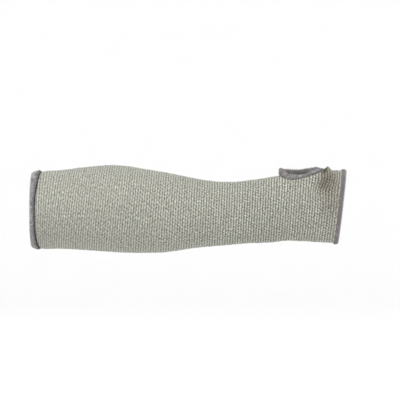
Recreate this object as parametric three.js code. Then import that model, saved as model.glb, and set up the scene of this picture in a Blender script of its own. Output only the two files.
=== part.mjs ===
import * as THREE from 'three';

// A knitted cut resistant sleeve, in millimetres, in the form it has when it is worn.
// X runs along the arm towards the hand, Z is up on the thumb side, and the palm faces the front, -Y.
// The origin is the centre of the upper-arm opening.

// Sizes over the knit
const LENGTH = 406;
const UPPER_ARM_HEIGHT = 101.6;
const UPPER_ARM_DEPTH = 95.5;
const FOREARM_HEIGHT = 112.7;
const FOREARM_DEPTH = 99.5;
const WRIST_HEIGHT = 81;
const WRIST_DEPTH = 60.5;
const PALM_HEIGHT = 94.6;
const PALM_DEPTH = 46;
const WALL = 1.8;

// Edgings: how far each reaches over the knit and how thick its thread lies on it
const UPPER_BAND_WIDTH = 8.2;
const UPPER_BAND_THICKNESS = 2.2;
const HAND_BAND_WIDTH = 3.8;
const HAND_BAND_THICKNESS = 1.3;
const THUMB_BAND_WIDTH = 5;
const THUMB_BAND_THICKNESS = 1.6;
const INNER_THREAD = 0.9;
const CLEARANCE = 0.3;

// The hand edge leans towards the fingers on the thumb side
const HAND_EDGE_LEAN = THREE.MathUtils.degToRad(6.8);

// The thumb hole in the knit, from its middle to the hand edge and round from the top to the palm side.
// It narrows towards the hand by the taper.
const THUMB_HOLE_LENGTH = 43.6;
const THUMB_HOLE_WIDTH = 22.6;
const THUMB_HOLE_TAPER = 0.6;
const THUMB_HOLE_FROM_HAND = 54.1;
const THUMB_HOLE_TOWARDS_PALM = 3;

// The knit rises round the base of the thumb as a collar, whose foot reaches out by COLLAR_FOOT and
// by this share of its rise. Beyond the edging at the hand end the thumb pulls it up in a ridge.
const COLLAR_RISE = 6.2;
const COLLAR_FOOT = 4.6;
const COLLAR_SPREAD = 0.7;
const RIDGE_RISE = 5;
const RIDGE_HALF_WIDTH = 2.8;
const RIDGE_FROM_EDGING = 5;

// How deep the hollows and folds of the worn knit are
const FOLD_DEPTH = 3;

// Fineness of the faceted surface
const COLUMNS = 44;
const ROWS = 38;
const KNIT_MARGIN = 7;
const KNIT_RINGS = 4;

// Sections across the arm. along is a share of LENGTH. height, depth and rise (the middle's height)
// are shares of the girth named in the row. square is the exponent of the superellipse, thumbSide how
// much deeper the thumb side is, and lean the share of the hand edge's lean that the knit has there.
const upperArm = { height: UPPER_ARM_HEIGHT, depth: UPPER_ARM_DEPTH };
const forearm = { height: FOREARM_HEIGHT, depth: FOREARM_DEPTH };
const wrist = { height: WRIST_HEIGHT, depth: WRIST_DEPTH };
const palm = { height: PALM_HEIGHT, depth: PALM_DEPTH };
const SECTIONS = [
  { along: 0.000, girth: upperArm, height: 0.930, depth: 0.930, rise: 0.000, square: 2.0, thumbSide: 0.00, lean: 0 },
  { along: 0.035, girth: upperArm, height: 0.985, depth: 0.985, rise: -0.001, square: 2.0, thumbSide: 0.00, lean: 0 },
  { along: 0.095, girth: upperArm, height: 1.003, depth: 1.000, rise: 0.008, square: 2.0, thumbSide: 0.00, lean: 0 },
  { along: 0.170, girth: forearm, height: 0.952, depth: 0.975, rise: 0.016, square: 2.0, thumbSide: 0.00, lean: 0 },
  { along: 0.250, girth: forearm, height: 0.995, depth: 1.000, rise: 0.017, square: 2.0, thumbSide: 0.02, lean: 0 },
  { along: 0.310, girth: forearm, height: 0.992, depth: 0.995, rise: 0.004, square: 2.0, thumbSide: 0.03, lean: 0 },
  { along: 0.360, girth: forearm, height: 0.961, depth: 0.965, rise: -0.011, square: 2.0, thumbSide: 0.03, lean: 0 },
  { along: 0.410, girth: forearm, height: 0.930, depth: 0.920, rise: -0.024, square: 2.0, thumbSide: 0.03, lean: 0 },
  { along: 0.460, girth: forearm, height: 0.875, depth: 0.860, rise: -0.031, square: 2.0, thumbSide: 0.03, lean: 0 },
  { along: 0.510, girth: forearm, height: 0.808, depth: 0.785, rise: -0.036, square: 2.0, thumbSide: 0.02, lean: 0 },
  { along: 0.580, girth: wrist, height: 1.036, depth: 1.120, rise: -0.059, square: 2.1, thumbSide: 0.00, lean: 0.05 },
  { along: 0.640, girth: wrist, height: 1.001, depth: 1.020, rise: -0.052, square: 2.1, thumbSide: 0.00, lean: 0.12 },
  { along: 0.700, girth: wrist, height: 1.006, depth: 0.975, rise: -0.022, square: 2.1, thumbSide: 0.02, lean: 0.22 },
  { along: 0.760, girth: wrist, height: 1.042, depth: 0.955, rise: 0.004, square: 2.1, thumbSide: 0.06, lean: 0.34 },
  { along: 0.810, girth: wrist, height: 1.062, depth: 0.945, rise: 0.036, square: 2.1, thumbSide: 0.10, lean: 0.46 },
  { along: 0.870, girth: palm, height: 0.945, depth: 1.150, rise: 0.044, square: 2.2, thumbSide: 0.12, lean: 0.62 },
  { along: 0.940, girth: palm, height: 0.990, depth: 1.070, rise: 0.048, square: 2.3, thumbSide: 0.10, lean: 0.84 },
  { along: 1.000, girth: palm, height: 0.995, depth: 1.000, rise: 0.043, square: 2.3, thumbSide: 0.06, lean: 1 },
];

// Folds and hollows of the worn knit. along is a share of LENGTH and around a share of the way round
// from the palm side over the thumb side. long and wide are half sizes as shares of PALM_HEIGHT, tilt
// turns the long one from along the arm, in degrees, and out is a share of FOLD_DEPTH.
const FOLDS = [
  { form: 'hollow of the palm', along: 0.930, around: 0.150, long: 0.16, wide: 0.09, tilt: 60, out: -1.20 },
  { form: 'fold from the thumb hole', along: 0.930, around: 0.200, long: 0.15, wide: 0.08, tilt: -35, out: 0.60 },
  { form: 'swell of the thumb base', along: 0.800, around: 0.110, long: 0.30, wide: 0.17, tilt: 20, out: 0.50 },
  { form: 'bulge under the wrist', along: 0.725, around: 0.750, long: 0.12, wide: 0.20, tilt: 0, out: 0.12 },
  { form: 'dent under the palm', along: 0.812, around: 0.750, long: 0.12, wide: 0.20, tilt: 0, out: -0.12 },
  { form: 'fold across the wrist', along: 0.640, around: 0.930, long: 0.30, wide: 0.06, tilt: 55, out: 0.40 },
  { form: 'furrow across the wrist', along: 0.610, around: 0.930, long: 0.30, wide: 0.07, tilt: 55, out: -0.40 },
  { form: 'fold behind the wrist', along: 0.660, around: 0.480, long: 0.30, wide: 0.07, tilt: 80, out: 0.40 },
  { form: 'inside of the elbow', along: 0.120, around: 0.030, long: 0.20, wide: 0.12, tilt: 75, out: -0.40 },
];

// The collar's rise at even steps round the thumb hole, from its hand end over the back of the hand
const COLLAR = [
  { side: 'hand', rise: 0.21 },
  { side: 'hand and back', rise: 0.50 },
  { side: 'back', rise: 0.53 },
  { side: 'upper arm and back', rise: 0.66 },
  { side: 'upper arm', rise: 0.95 },
  { side: 'upper arm and palm', rise: 0.20 },
  { side: 'palm', rise: 0.04 },
  { side: 'hand and palm', rise: 0.36 },
];

// The upper-arm band is rolled at the thumb side and flat in front and behind. Shares of its width and
// of its thickness, halfway over it and where it ends on the knit. gather is how suddenly it changes.
const UPPER_BAND = {
  flat: { width: 0.34, middle: 0.6, end: 0.6 },
  thumbSide: { width: 1, middle: 0.8, end: 1, gather: 2 },
  underSide: { width: 0.85, middle: 0.6, end: 0.6, gather: 6 },
};

// A smooth line through one column of the table, straight beyond its ends
function smoothLine(value) {
  const places = SECTIONS.map((row) => row.along * LENGTH);
  const values = SECTIONS.map(value);
  const last = SECTIONS.length - 1;
  const slopes = values.map((_, i) => {
    const from = Math.max(i - 1, 0);
    const to = Math.min(i + 1, last);
    return (values[to] - values[from]) / (places[to] - places[from]);
  });
  return (x) => {
    if (x <= places[0]) return values[0] + slopes[0] * (x - places[0]);
    if (x >= places[last]) return values[last] + slopes[last] * (x - places[last]);
    const next = places.findIndex((place) => place >= x);
    const start = next - 1;
    const span = places[next] - places[start];
    const t = (x - places[start]) / span;
    const blend = values[start] + (values[next] - values[start]) * t * t * (3 - 2 * t);
    const leave = slopes[start] * span * t * (1 - t) ** 2;
    const arrive = slopes[next] * span * t ** 2 * (1 - t);
    return blend + leave - arrive;
  };
}
const halfHeightAt = smoothLine((row) => row.height * row.girth.height / 2);
const halfDepthAt = smoothLine((row) => row.depth * row.girth.depth / 2);
const middleAt = smoothLine((row) => row.rise * row.girth.height);
const squareAt = smoothLine((row) => row.square);
const thumbSideAt = smoothLine((row) => row.thumbSide);
const leanAt = smoothLine((row) => row.lean * Math.tan(HAND_EDGE_LEAN));

function signedPower(value, exponent) {
  return Math.sign(value) * Math.abs(value) ** exponent;
}

// The outline across the arm at x: turn 0 is the palm side, 0.25 the thumb side, 0.5 the back
class Outline extends THREE.Curve {
  constructor(x) {
    super();
    this.x = x;
    this.halfHeight = halfHeightAt(x);
    this.halfDepth = halfDepthAt(x);
    this.middle = middleAt(x);
    this.thumbSide = thumbSideAt(x);
    this.exponent = 2 / squareAt(x);
    this.arcLengthDivisions = 120;
  }

  getPoint(turn) {
    const angle = 2 * Math.PI * turn;
    const up = signedPower(Math.sin(angle), this.exponent);
    const front = signedPower(Math.cos(angle), this.exponent);
    const y = -this.halfDepth * front * (1 + this.thumbSide * up);
    return new THREE.Vector3(this.x, y, this.middle + this.halfHeight * up);
  }
}

// Outlines at the stations of the knit, kept because many points share one
const stations = new Map();
function outlineAt(at) {
  if (!stations.has(at)) stations.set(at, new Outline(at));
  return stations.get(at);
}

// The plain tube, without folds. at is the station along the arm and around the share of the girth,
// in even steps of length. Courses lean as the hand edge does, and the outline stays where it is.
function tubePoint(at, around) {
  const station = outlineAt(at);
  const turn = station.getUtoTmapping(THREE.MathUtils.euclideanModulo(around, 1));
  return new Outline(at + leanAt(at) * station.getPoint(turn).z).getPoint(turn);
}

// Stations of the edges. The highest point of the hand edge lies LENGTH from the upper-arm edge.
const handTop = halfHeightAt(LENGTH) + middleAt(LENGTH);
const handStation = LENGTH - Math.tan(HAND_EDGE_LEAN) * handTop;
const upperKnitEdge = CLEARANCE + UPPER_BAND_THICKNESS;
const handKnitEdge = handStation - CLEARANCE - HAND_BAND_THICKNESS;

// The thumb hole on the unrolled knit: along and across are in millimetres from its middle
const holeStation = handStation - THUMB_HOLE_FROM_HAND;
const holeGirth = outlineAt(holeStation).getLength();
const holeAround = 0.25 - THUMB_HOLE_TOWARDS_PALM / holeGirth;
const edgingHalfLength = THUMB_HOLE_LENGTH / 2 + THUMB_BAND_WIDTH;

// The share of its width that the hole has at a place along it. It stays the same beyond the edging.
function holeTaper(along) {
  const share = THREE.MathUtils.clamp(along / edgingHalfLength, -1, 1);
  return 1 - THUMB_HOLE_TAPER / 2 * Math.sin(share * Math.PI / 2);
}

// A place on the unrolled knit, outside the hole's edge by so many millimetres
function besideHole(angle, outside) {
  const along = (THUMB_HOLE_LENGTH / 2 + outside) * Math.cos(angle);
  const across = (THUMB_HOLE_WIDTH / 2 + outside) * Math.sin(angle) * holeTaper(along);
  return { at: holeStation + along, around: holeAround + across / holeGirth };
}

// Where a place on the unrolled knit lies from the hole: the reverse of besideHole
function fromHole(at, around) {
  const along = at - holeStation;
  const across = (around - holeAround) * holeGirth / holeTaper(along);
  const towardsHand = along / (THUMB_HOLE_LENGTH / 2);
  const towardsBack = across / (THUMB_HOLE_WIDTH / 2);
  const reach = Math.max(Math.hypot(towardsHand, towardsBack), 0.5);
  return {
    angle: Math.atan2(towardsBack, towardsHand),
    outside: Math.hypot(along, across) * (1 - 1 / reach),
    towardsHand: towardsHand / reach,
    towardsBack: towardsBack / reach,
  };
}

// How high the collar's edge rises in a direction from the hole, smooth between the table's rows
function collarRise(towardsHand, towardsBack) {
  const turn = Math.atan2(towardsBack, towardsHand) / (2 * Math.PI);
  const place = THREE.MathUtils.euclideanModulo(turn, 1) * COLLAR.length;
  const row = Math.floor(place) % COLLAR.length;
  const next = (row + 1) % COLLAR.length;
  const share = THREE.MathUtils.smoothstep(place - row, 0, 1);
  return COLLAR_RISE * THREE.MathUtils.lerp(COLLAR[row].rise, COLLAR[next].rise, share);
}

// The collar rises and flares round the thumb, and the ridge stands beyond it
function addCollar(point, at, around) {
  const { outside, towardsHand, towardsBack } = fromHole(at, around);
  const rise = collarRise(towardsHand, towardsBack);
  const reach = COLLAR_FOOT + COLLAR_SPREAD * rise;
  const lift = rise * Math.max(0, 1 - outside / reach) ** 2;
  const fromRidge = (outside - THUMB_BAND_WIDTH - RIDGE_FROM_EDGING) / RIDGE_HALF_WIDTH;
  const ridge = RIDGE_RISE * Math.exp(-(fromRidge ** 2)) * Math.max(0, towardsHand) ** 3;
  point.x += lift * towardsHand;
  point.y += (lift + ridge) * towardsBack;
  point.z += lift + ridge;
}

// Folds push the knit in or out, square to the tube
function addFolds(point, at, around) {
  const outline = outlineAt(at);
  const girth = outline.getLength();
  const outwards = new THREE.Vector3(
    0,
    point.y / outline.halfDepth ** 2,
    (point.z - outline.middle) / outline.halfHeight ** 2,
  ).normalize();
  for (const fold of FOLDS) {
    const along = at - fold.along * LENGTH;
    const turn = THREE.MathUtils.euclideanModulo(around - fold.around + 0.5, 1) - 0.5;
    const across = turn * girth;
    const tilt = THREE.MathUtils.degToRad(fold.tilt);
    const length = (along * Math.cos(tilt) + across * Math.sin(tilt)) / (fold.long * PALM_HEIGHT);
    const width = (across * Math.cos(tilt) - along * Math.sin(tilt)) / (fold.wide * PALM_HEIGHT);
    const depth = fold.out * FOLD_DEPTH * Math.exp(-length * length - width * width);
    point.addScaledVector(outwards, depth);
  }
}

function knitPoint(at, around) {
  const point = tubePoint(at, around);
  addFolds(point, at, around);
  addCollar(point, at, around);
  return point;
}

// A point that lies above the knit's outer face by height, or inside it where height is negative
function abovePoint(at, around, height) {
  const stepAlong = 0.4;
  const stepAround = 0.0015;
  const along = knitPoint(at + stepAlong, around).sub(knitPoint(at - stepAlong, around));
  const over = knitPoint(at, around + stepAround).sub(knitPoint(at, around - stepAround));
  return knitPoint(at, around).addScaledVector(along.cross(over).normalize(), height);
}

// A closed skin of points and triangles
class Skin {
  constructor() {
    this.positions = [];
    this.triangles = [];
  }

  add(point) {
    this.positions.push(point.x, point.y, point.z);
    return this.positions.length / 3 - 1;
  }

  quad(a, b, c, d) {
    this.triangles.push(a, b, c, a, c, d);
  }

  mesh(name, material) {
    const geometry = new THREE.BufferGeometry();
    geometry.setAttribute('position', new THREE.Float32BufferAttribute(this.positions, 3));
    geometry.setIndex(this.triangles);
    geometry.computeVertexNormals();
    const mesh = new THREE.Mesh(geometry, material);
    mesh.name = name;
    return mesh;
  }
}

// The knit's grid: stations along the arm and even shares of the girth
const rowStep = (handKnitEdge - upperKnitEdge) / (ROWS - 1);
const rowAt = (row) => upperKnitEdge + row * rowStep;
const columnAt = (column) => column / COLUMNS;

// The block of the grid that makes room for the thumb hole, and the loop of grid points round it
const blockReach = THUMB_BAND_WIDTH + KNIT_MARGIN;
const blockHalfLength = THUMB_HOLE_LENGTH / 2 + blockReach;
const blockHalfWidth = (THUMB_HOLE_WIDTH / 2 * holeTaper(-THUMB_HOLE_LENGTH / 4) + blockReach) / holeGirth;
const block = {
  firstRow: Math.floor((holeStation - blockHalfLength - upperKnitEdge) / rowStep),
  lastRow: Math.ceil((holeStation + blockHalfLength - upperKnitEdge) / rowStep),
  firstColumn: Math.floor((holeAround - blockHalfWidth) * COLUMNS),
  lastColumn: Math.ceil((holeAround + blockHalfWidth) * COLUMNS),
};

function blockLoop() {
  const { firstRow, lastRow, firstColumn, lastColumn } = block;
  const loop = [];
  for (let row = firstRow; row < lastRow; row += 1) loop.push([row, firstColumn]);
  for (let column = firstColumn; column < lastColumn; column += 1) loop.push([lastRow, column]);
  for (let row = lastRow; row > firstRow; row -= 1) loop.push([row, lastColumn]);
  for (let column = lastColumn; column > firstColumn; column -= 1) loop.push([firstRow, column]);
  return loop;
}
const loopRoundHole = blockLoop();
const holeAngles = loopRoundHole.map(([row, column]) => fromHole(rowAt(row), columnAt(column)).angle);

function inBlock(row, column) {
  const rowInside = row >= block.firstRow && row < block.lastRow;
  return rowInside && column >= block.firstColumn && column < block.lastColumn;
}

// Rings of places from the hole's edge out to the grid: three under the edging, the rest beyond it
function ringPlaces() {
  const underEdging = [0, 0.5, 1].map((share) =>
    holeAngles.map((angle) => besideHole(angle, share * THUMB_BAND_WIDTH)));
  const beyond = [];
  for (let ring = 1; ring < KNIT_RINGS; ring += 1) {
    beyond.push(loopRoundHole.map(([row, column], i) => ({
      at: THREE.MathUtils.lerp(underEdging[2][i].at, rowAt(row), ring / KNIT_RINGS),
      around: THREE.MathUtils.lerp(underEdging[2][i].around, columnAt(column), ring / KNIT_RINGS),
    })));
  }
  return [...underEdging, ...beyond];
}

// One face of the knit: the grid, less the block, and the rings that lead into the thumb hole
function knitFace(skin, height) {
  const grid = [];
  for (let row = 0; row < ROWS; row += 1) {
    grid.push([]);
    for (let column = 0; column < COLUMNS; column += 1) {
      const buried = inBlock(row, column) && inBlock(row - 1, column) && inBlock(row, column - 1);
      grid[row].push(buried ? null : skin.add(abovePoint(rowAt(row), columnAt(column), height)));
    }
  }
  const rings = ringPlaces().map((places) =>
    places.map((place) => skin.add(abovePoint(place.at, place.around, height))));
  rings.push(loopRoundHole.map(([row, column]) => grid[row][column]));
  return { grid, rings };
}

function sleeveBody(material) {
  const skin = new Skin();
  const outer = knitFace(skin, 0);
  const inner = knitFace(skin, -WALL);
  const last = ROWS - 1;
  for (let column = 0; column < COLUMNS; column += 1) {
    const next = (column + 1) % COLUMNS;
    const out = outer.grid;
    const into = inner.grid;
    for (let row = 0; row < last; row += 1) {
      if (inBlock(row, column)) continue;
      skin.quad(out[row][column], out[row + 1][column], out[row + 1][next], out[row][next]);
      skin.quad(into[row][column], into[row][next], into[row + 1][next], into[row + 1][column]);
    }
    skin.quad(out[0][column], out[0][next], into[0][next], into[0][column]);
    skin.quad(out[last][next], out[last][column], into[last][column], into[last][next]);
  }
  const count = loopRoundHole.length;
  for (let i = 0; i < count; i += 1) {
    const next = (i + 1) % count;
    const out = outer.rings;
    const into = inner.rings;
    for (let ring = 0; ring < out.length - 1; ring += 1) {
      skin.quad(out[ring][i], out[ring + 1][i], out[ring + 1][next], out[ring][next]);
      skin.quad(into[ring][i], into[ring][next], into[ring + 1][next], into[ring + 1][i]);
    }
    skin.quad(out[0][i], out[0][next], into[0][next], into[0][i]);
  }
  return skin.mesh('sleeve_body', material);
}

// Section of an edging that grips the knit's edge like a U. over is how far each point lies in from
// the knit's edge and height how far above the knit's outer face. middle and end are the shares of the
// thickness that the band has halfway and where it ends on the knit.
function edgingSection(width, thickness, middle, end) {
  const above = CLEARANCE;
  const below = -WALL - CLEARANCE;
  return [
    { over: width, height: above },
    { over: width / 2, height: above },
    { over: -CLEARANCE, height: above },
    { over: -CLEARANCE, height: below },
    { over: width / 2, height: below },
    { over: width, height: below },
    { over: width, height: below - INNER_THREAD * 0.6 },
    { over: width / 2, height: below - INNER_THREAD },
    { over: 0, height: below - INNER_THREAD * 0.7 },
    { over: -CLEARANCE - thickness * 0.8, height: below + WALL * 0.3 },
    { over: -CLEARANCE - thickness, height: (above + below) / 2 },
    { over: -CLEARANCE - thickness * 0.7, height: above + thickness * 0.1 },
    { over: 0, height: above + thickness * middle * 0.75 },
    { over: width / 2, height: above + thickness * middle },
    { over: width, height: above + thickness * end },
  ];
}

// An edging swept round an opening: place gives the spot on the knit for a step and a distance over
// it. A mirrored one lies over the knit towards the upper arm, so its faces turn the other way.
function edging(name, material, steps, sectionAt, place, mirrored = false) {
  const skin = new Skin();
  const loops = [];
  for (let step = 0; step < steps; step += 1) {
    loops.push(sectionAt(step).map(({ over, height }) => {
      const spot = place(step, over);
      return skin.add(abovePoint(spot.at, spot.around, height));
    }));
  }
  for (let step = 0; step < steps; step += 1) {
    const here = loops[step];
    const there = loops[(step + 1) % steps];
    for (let i = 0; i < here.length; i += 1) {
      const next = (i + 1) % here.length;
      if (mirrored) skin.quad(here[i], there[i], there[next], here[next]);
      else skin.quad(here[i], here[next], there[next], there[i]);
    }
  }
  return skin.mesh(name, material);
}

function upperArmBinding(material) {
  const sectionAt = (step) => {
    const up = Math.sin(2 * Math.PI * columnAt(step));
    const side = up > 0 ? UPPER_BAND.thumbSide : UPPER_BAND.underSide;
    const rolled = Math.abs(up) ** side.gather;
    const share = (column) => THREE.MathUtils.lerp(UPPER_BAND.flat[column], side[column], rolled);
    return edgingSection(UPPER_BAND_WIDTH * share('width'), UPPER_BAND_THICKNESS, share('middle'), share('end'));
  };
  const place = (step, over) => ({ at: upperKnitEdge + over, around: columnAt(step) });
  return edging('upper_arm_binding', material, COLUMNS, sectionAt, place);
}

function handBinding(material) {
  const section = edgingSection(HAND_BAND_WIDTH, HAND_BAND_THICKNESS, 1, 0.6);
  const place = (step, over) => ({ at: handKnitEdge - over, around: columnAt(step) });
  return edging('hand_binding', material, COLUMNS, () => section, place, true);
}

function thumbHoleBinding(material) {
  const section = edgingSection(THUMB_BAND_WIDTH, THUMB_BAND_THICKNESS, 1, 0.7);
  const place = (step, over) => besideHole(holeAngles[step], over);
  return edging('thumb_hole_binding', material, holeAngles.length, () => section, place);
}

const knitYarn = new THREE.MeshStandardMaterial({ color: 0xabada0, roughness: 0.92, metalness: 0 });
const overlockThread = new THREE.MeshStandardMaterial({ color: 0x8e8a8c, roughness: 0.85, metalness: 0 });

const sleeve = new THREE.Group();
sleeve.add(sleeveBody(knitYarn));
sleeve.add(upperArmBinding(overlockThread));
sleeve.add(handBinding(overlockThread));
sleeve.add(thumbHoleBinding(overlockThread));

export default sleeve;
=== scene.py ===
import math
from collections import namedtuple

import bpy
import numpy as np
from bpy.props import FloatProperty, FloatVectorProperty, IntProperty, PointerProperty
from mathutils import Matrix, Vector


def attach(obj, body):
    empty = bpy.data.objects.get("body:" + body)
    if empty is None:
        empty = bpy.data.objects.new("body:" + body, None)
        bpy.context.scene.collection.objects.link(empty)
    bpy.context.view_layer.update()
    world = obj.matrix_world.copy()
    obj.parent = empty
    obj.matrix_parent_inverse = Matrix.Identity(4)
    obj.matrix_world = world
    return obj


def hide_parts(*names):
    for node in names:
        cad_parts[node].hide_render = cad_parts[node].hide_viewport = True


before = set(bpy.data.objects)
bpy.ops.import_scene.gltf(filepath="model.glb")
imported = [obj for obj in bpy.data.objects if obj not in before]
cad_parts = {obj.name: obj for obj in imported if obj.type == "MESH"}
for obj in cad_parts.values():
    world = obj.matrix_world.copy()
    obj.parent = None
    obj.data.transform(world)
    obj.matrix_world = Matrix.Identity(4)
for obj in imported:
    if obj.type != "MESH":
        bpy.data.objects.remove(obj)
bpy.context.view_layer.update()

# A knitted cut resistant sleeve in its worn form, in metres, in the frame of its solids.
# X runs along the sleeve towards its hand edge, Z is up on the thumb side, and the palm side faces -Y.

bl_info = {
    "name": "Cut Resistant Sleeve",
    "version": (1, 0, 0),
    "blender": (4, 5, 0),
    "location": "View3D > Sidebar > Sleeve",
    "description": "Knits a cut resistant sleeve with overlocked edges in its worn form",
    "category": "Add Mesh",
}

# Sections across the sleeve. along is a share of the length. height, depth and rise (the middle's height)
# are shares of the girth named in the row. square is the exponent of the superellipse, thumb_side how
# much deeper the thumb side is, and lean the share of the hand edge's lean that the knit has there.
Section = namedtuple("Section", "along girth height depth rise square thumb_side lean")
SECTIONS = (
    Section(0.000, "upper_arm", 0.930, 0.930, 0.000, 2.0, 0.00, 0.00),
    Section(0.035, "upper_arm", 0.985, 0.985, -0.001, 2.0, 0.00, 0.00),
    Section(0.095, "upper_arm", 1.003, 1.000, 0.008, 2.0, 0.00, 0.00),
    Section(0.170, "forearm", 0.952, 0.975, 0.016, 2.0, 0.00, 0.00),
    Section(0.250, "forearm", 0.995, 1.000, 0.017, 2.0, 0.02, 0.00),
    Section(0.310, "forearm", 0.992, 0.995, 0.004, 2.0, 0.03, 0.00),
    Section(0.360, "forearm", 0.961, 0.965, -0.011, 2.0, 0.03, 0.00),
    Section(0.410, "forearm", 0.930, 0.920, -0.024, 2.0, 0.03, 0.00),
    Section(0.460, "forearm", 0.875, 0.860, -0.031, 2.0, 0.03, 0.00),
    Section(0.510, "forearm", 0.808, 0.785, -0.036, 2.0, 0.02, 0.00),
    Section(0.580, "wrist", 1.036, 1.120, -0.059, 2.1, 0.00, 0.05),
    Section(0.640, "wrist", 1.001, 1.020, -0.052, 2.1, 0.00, 0.12),
    Section(0.700, "wrist", 1.006, 0.975, -0.022, 2.1, 0.02, 0.22),
    Section(0.760, "wrist", 1.042, 0.955, 0.004, 2.1, 0.06, 0.34),
    Section(0.810, "wrist", 1.062, 0.945, 0.036, 2.1, 0.10, 0.46),
    Section(0.870, "palm", 0.945, 1.150, 0.044, 2.2, 0.12, 0.62),
    Section(0.940, "palm", 0.990, 1.070, 0.048, 2.3, 0.10, 0.84),
    Section(1.000, "palm", 0.995, 1.000, 0.043, 2.3, 0.06, 1.00),
)

# Lumps of the overlocked edges: their spacing along the edge in metres, how much thicker the edging is
# there, as a share, and the share of the spacing at which the first one starts
Lump = namedtuple("Lump", "spacing amount start")
LUMPS = (
    Lump(0.0210, 0.08, 0.10),
    Lump(0.0127, 0.10, 0.45),
    Lump(0.0071, 0.09, 0.80),
)

# How far the courses lean towards the hand edge on the thumb side, in degrees, besides the sections' lean
Slant = namedtuple("Slant", "along degrees")
SLANTS = (
    Slant(0.00, 0.0),
    Slant(0.08, 7.0),
    Slant(0.25, 6.0),
    Slant(0.40, 4.5),
    Slant(0.60, 2.2),
    Slant(0.80, 0.8),
    Slant(1.00, 0.0),
)

# Places on the palm side where the courses are pulled askew. x and z are the middle in metres, half_x
# and half_z the half sizes, fade how many of the latter the pull reaches, and shift how far a course
# moves along the sleeve at half_z.
Pull = namedtuple("Pull", "form x z half_x half_z fade shift")
PULLS = (Pull("beside the thumb hole", 0.3730, 0.0330, 0.0140, 0.0090, 1.5, 0.0034),)

# Folds and hollows of the worn knit. along is a share of the length and around a share of the way round
# from the palm side over the thumb side. long and wide are half sizes as shares of the palm's height,
# tilt turns the long one from along the sleeve, in degrees, and out is a share of the fold depth.
Fold = namedtuple("Fold", "form along around long wide tilt out")
FOLDS = (
    Fold("hollow of the palm", 0.930, 0.150, 0.16, 0.09, 60, -1.20),
    Fold("fold from the thumb hole", 0.930, 0.200, 0.15, 0.08, -35, 0.60),
    Fold("swell under the thumb hole", 0.800, 0.110, 0.30, 0.17, 20, 0.50),
    Fold("bulge under the wrist", 0.725, 0.750, 0.12, 0.20, 0, 0.12),
    Fold("dent under the palm", 0.812, 0.750, 0.12, 0.20, 0, -0.12),
    Fold("fold across the wrist", 0.640, 0.930, 0.30, 0.06, 55, 0.40),
    Fold("furrow across the wrist", 0.610, 0.930, 0.30, 0.07, 55, -0.40),
    Fold("fold behind the wrist", 0.660, 0.480, 0.30, 0.07, 80, 0.40),
    Fold("dent beside the upper-arm edge", 0.120, 0.030, 0.20, 0.12, 75, -0.40),
)

# The collar's rise at even steps round the thumb hole, from its hand end over the sleeve's back, as
# shares of the collar's whole rise
Rise = namedtuple("Rise", "side share")
COLLAR = (
    Rise("hand", 0.21),
    Rise("hand and back", 0.50),
    Rise("back", 0.53),
    Rise("upper arm and back", 0.66),
    Rise("upper arm", 0.95),
    Rise("upper arm and palm", 0.20),
    Rise("palm", 0.04),
    Rise("hand and palm", 0.36),
)

# The upper-arm edging is rolled at the thumb side and flat in front and behind. Shares of its width and
# of its thickness, halfway over it and where it ends on the knit. gather is how suddenly it changes.
Roll = namedtuple("Roll", "width middle end gather")
FLAT_EDGING = Roll(0.34, 0.6, 0.6, 0)
THUMB_SIDE_EDGING = Roll(1.00, 0.8, 1.0, 2)
UNDER_SIDE_EDGING = Roll(0.85, 0.6, 0.6, 6)

# Painted shade on the palm side, with a warm cast of painted reflection: in the hollow of the palm, along the
# palm and in the fold beside the thumb hole.
# x and z are its middle in metres, long and wide its half sizes, and tilt turns the long one from along the
# sleeve, in degrees. amount is its share of the darkest shade.
Grime = namedtuple("Grime", "form x z long wide tilt amount")
PAINTED_SHADE = (
    Grime("hollow of the palm", 0.3805, 0.0375, 0.028, 0.021, 55, 1.00),
    Grime("shade beside the thumb hole", 0.3740, 0.0330, 0.020, 0.006, 70, 0.45),
    Grime("fold beside the thumb hole", 0.3775, 0.0508, 0.011, 0.0048, 45, 1.00),
    Grime("depth of that fold", 0.3780, 0.0516, 0.008, 0.0030, 45, 1.00),
    Grime("bottom of that fold", 0.3782, 0.0520, 0.006, 0.0024, 45, 1.00),
    Grime("along the palm", 0.3850, 0.0140, 0.055, 0.020, 90, 0.55),
)

# An edging's section. On the knit, from where it ends, width is the distance in from the edge as a share
# of its width, and end and middle say how much of its thickness there and halfway over it counts
OnKnit = namedtuple("OnKnit", "width end middle")
ON_KNIT = (
    OnKnit(1.00, 0.0, 0.00),
    OnKnit(0.97, 0.8, 0.00),
    OnKnit(0.80, 0.6, 0.40),
    OnKnit(0.50, 0.0, 1.00),
    OnKnit(0.22, 0.0, 0.95),
    OnKnit(0.00, 0.0, 0.75),
)
# Over the edge, out and thickness are shares of its thickness, beyond the edge and above a level that
# goes from 0 at the inner face to 1 at the outer one
OverEdge = namedtuple("OverEdge", "out level thickness")
OVER_EDGE = (
    OverEdge(0.7, 1.000, 0.1),
    OverEdge(1.0, 0.500, 0.0),
    OverEdge(0.8, 0.225, 0.0),
)
# Inside the sleeve, thickness is a share of the inner thread's
Inside = namedtuple("Inside", "width thickness")
INSIDE = (
    Inside(0.00, 0.70),
    Inside(0.30, 0.95),
    Inside(0.65, 1.00),
    Inside(0.95, 0.70),
    Inside(1.00, 0.00),
)

# Places of the lights, in metres from the sleeve's middle along it, in front of it and above it
Lamp = namedtuple("Lamp", "name x y z width")
LAMPS = (
    Lamp("key", -0.3, -1.7, 2.1, 2.2),
    Lamp("fill", 1.6, -2.0, 0.5, 2.0),
)

UV_NAME = "Yarn"


def size(name, description, default):
    """A length that the user can change, in metres."""
    return FloatProperty(
        name=name, description=description, default=default, min=0, unit="LENGTH", precision=4
    )


def share(name, description, default):
    """A plain ratio that the user can change."""
    return FloatProperty(name=name, description=description, default=default, precision=3)


def power(name, description, default):
    """The power of a light."""
    return FloatProperty(name=name, description=description, default=default, min=0, unit="POWER")


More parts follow.
